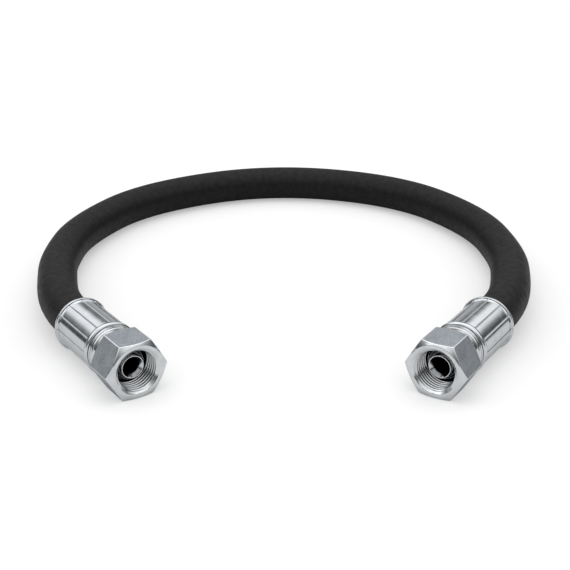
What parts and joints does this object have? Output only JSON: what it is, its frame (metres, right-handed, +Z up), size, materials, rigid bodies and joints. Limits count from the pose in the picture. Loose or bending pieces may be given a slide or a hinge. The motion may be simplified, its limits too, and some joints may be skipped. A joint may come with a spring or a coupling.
{
  "type": "hydraulic hose assembly",
  "caption": "Reinforced rubber hydraulic hose laid in an open loop, with a crimped ferrule, cone-nosed insert and free-turning hexagon swivel nut at each end.",
  "frame": {"origin": "on the floor, at the middle of the box round the two fittings (nuts, inserts and ferrules); the hose is left out of that box", "axes": "+X from fitting a to fitting b, +Y from the nuts towards the back of the hose loop, +Z up"},
  "size_m": [0.2744, 0.3049, 0.0275],
  "materials": {
    "cover_rubber": "matt black rubber with a fine wrapped-cloth mark",
    "tube_rubber": "smooth black rubber",
    "braid_wire": "brass-coated steel wire braid",
    "ferrule_zinc": "bright zinc plate, crimped",
    "insert_zinc": "bright zinc plate, turned",
    "nut_zinc": "zinc plate, satin flats and bright chamfers"
  },
  "bodies": {
    "hose_assembly": {"inner_tube": "tube_rubber", "wire_braid": "braid_wire", "hose_cover": "cover_rubber", "insert_a": "insert_zinc", "insert_b": "insert_zinc", "ferrule_a": "ferrule_zinc", "ferrule_b": "ferrule_zinc"},
    "nut_a": {"swivel_nut_a": "nut_zinc"},
    "nut_b": {"swivel_nut_b": "nut_zinc"}
  },
  "joints": [
    {"name": "nut_a_swivel", "type": "hinge", "parent": "hose_assembly", "child": "nut_a", "pos_m": [-0.0654, -0.02562, 0.0135], "axis": [0.5635, -0.8261, -0.0042], "continuous": true},
    {"name": "nut_b_swivel", "type": "hinge", "parent": "hose_assembly", "child": "nut_b", "pos_m": [0.0669, -0.02562, 0.0135], "axis": [-0.5343, -0.8453, -0.0042], "continuous": true}
  ]
}
